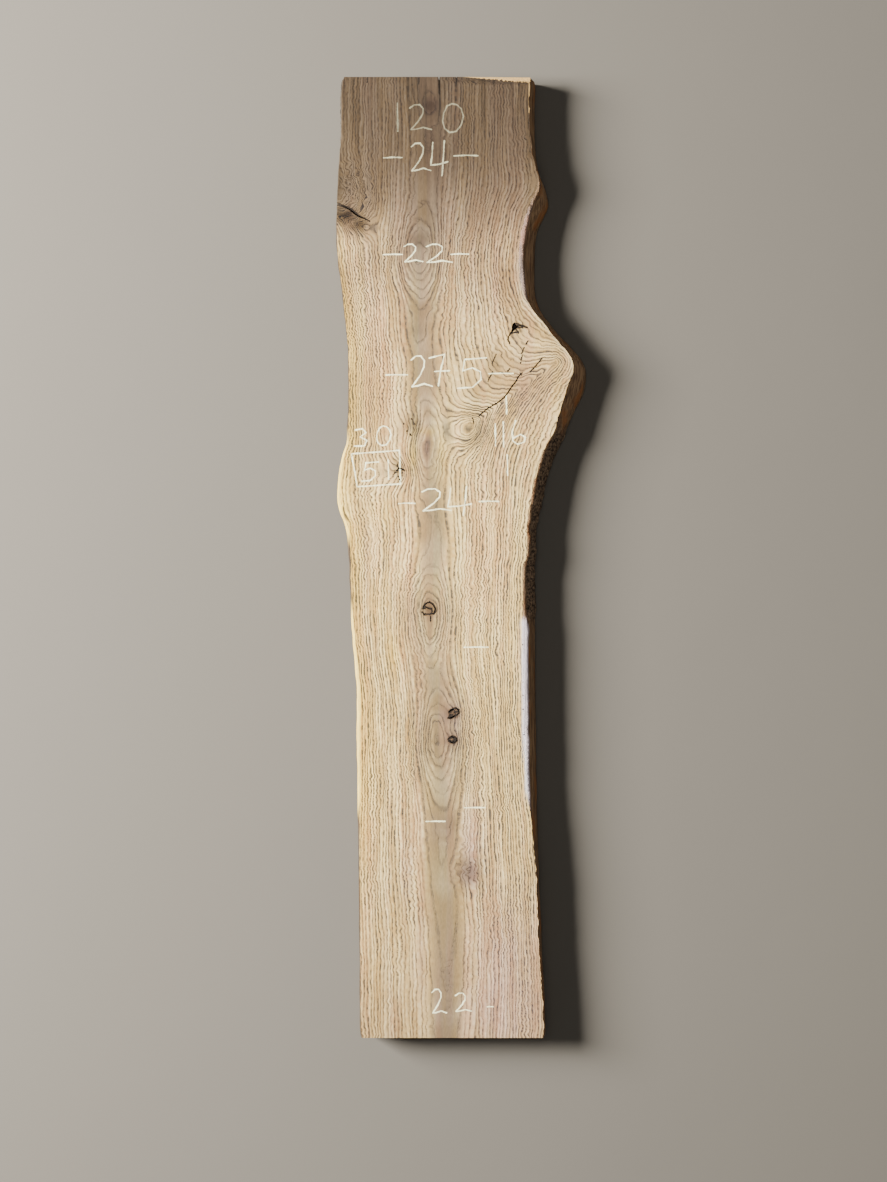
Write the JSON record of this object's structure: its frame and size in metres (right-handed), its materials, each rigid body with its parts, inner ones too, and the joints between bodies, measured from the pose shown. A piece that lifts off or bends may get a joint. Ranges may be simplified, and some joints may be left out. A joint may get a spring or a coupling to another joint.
{
  "type": "live-edge ash slab",
  "caption": "Long thick plank of ash with natural live edges, a branch bulge, knots and drying cracks, for a table or bench top.",
  "frame": {"origin": "middle of the bounding box, on the sawn back face that the slab lies on", "axes": "+Y along the trunk from the foot to the crown, +X towards the side with the branch bulge, +Z out of the show face"},
  "size_m": [0.773, 2.9464, 0.0762],
  "materials": {
    "ash_wood": "rough-sawn, unfinished, ring-porous grain, chalk marks, brown bark remnants on the live edges"
  },
  "bodies": {
    "root": {"slab": "ash_wood"}
  },
  "joints": []
}
